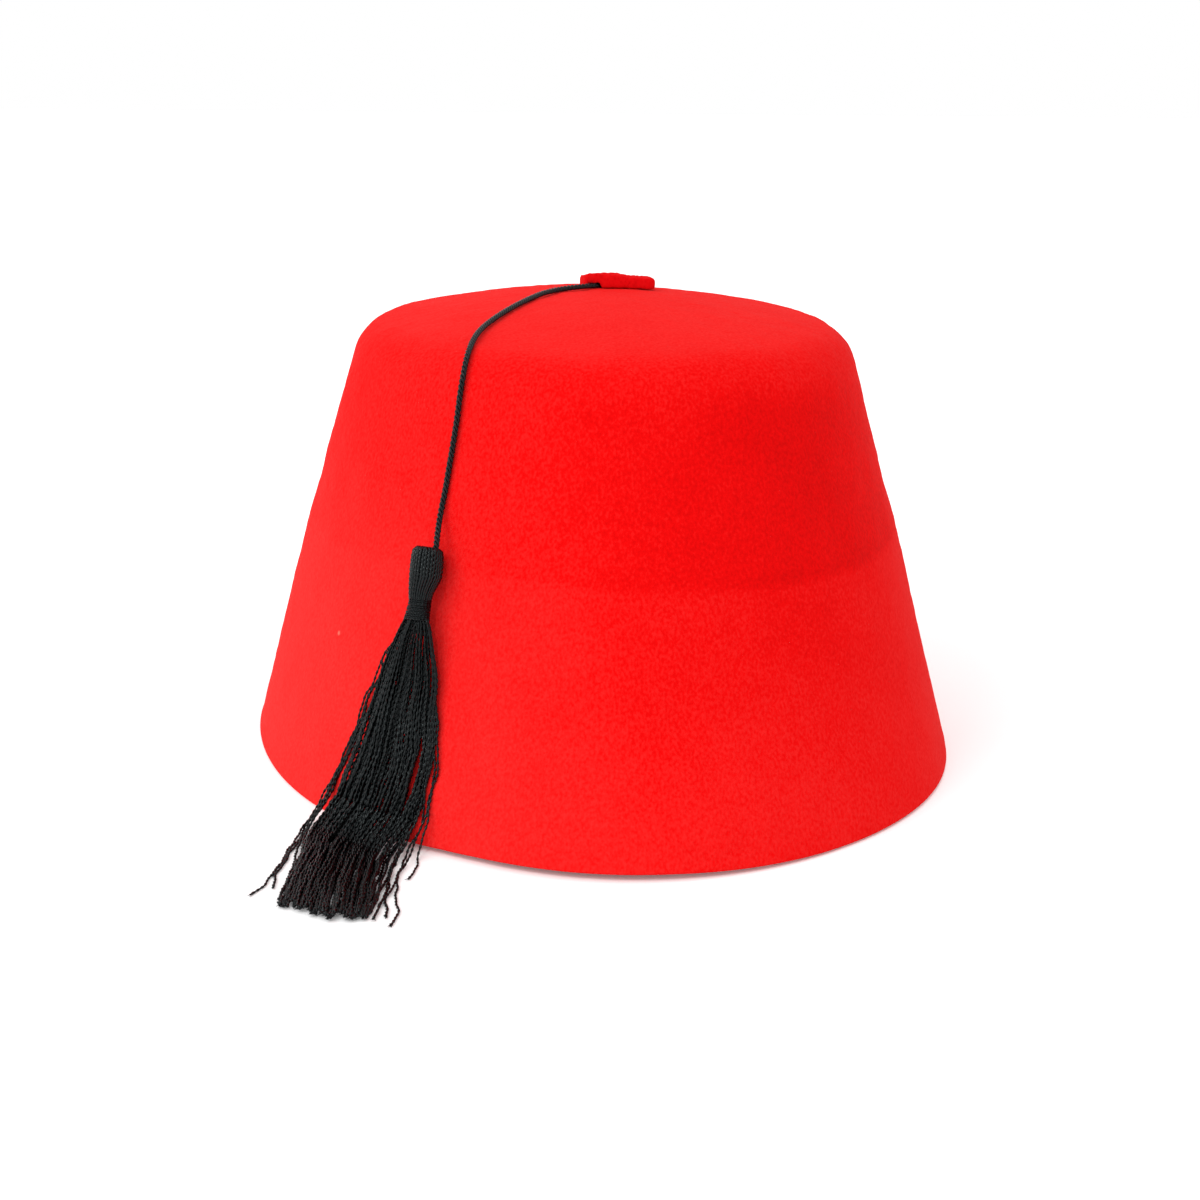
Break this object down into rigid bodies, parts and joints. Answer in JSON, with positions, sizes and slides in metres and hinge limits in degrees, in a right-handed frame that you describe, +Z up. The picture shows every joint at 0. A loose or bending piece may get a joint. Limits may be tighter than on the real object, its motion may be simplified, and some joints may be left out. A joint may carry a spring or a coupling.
{
  "type": "felt fez hat with cord and tassel",
  "caption": "Stiff red felt fez: a tapered crown with a low domed top, open below, a felt tab on top, and a black cord with a long tassel that lies out over the surface.",
  "frame": {"origin": "on the surface that the hat stands on, at the centre of the rim", "axes": "+Z up, +Y along the long way of the oval rim, +X across it; the tassel hangs at the front left, towards -X and -Y"},
  "size_m": [0.1758, 0.2158, 0.1136],
  "materials": {
    "red_felt": "stiff pressed wool felt, matt with short fibres",
    "tab_felt": "cut felt strip, matt",
    "black_cord": "plied black thread cord",
    "black_tassel": "loose twisted black threads with a slight lustre",
    "black_binding": "black thread wound tightly"
  },
  "bodies": {
    "root": {"felt_crown": "red_felt", "top_tab": "tab_felt", "hanging_cord": "black_cord", "tassel": "black_tassel", "neck_binding": "black_binding"}
  },
  "joints": []
}
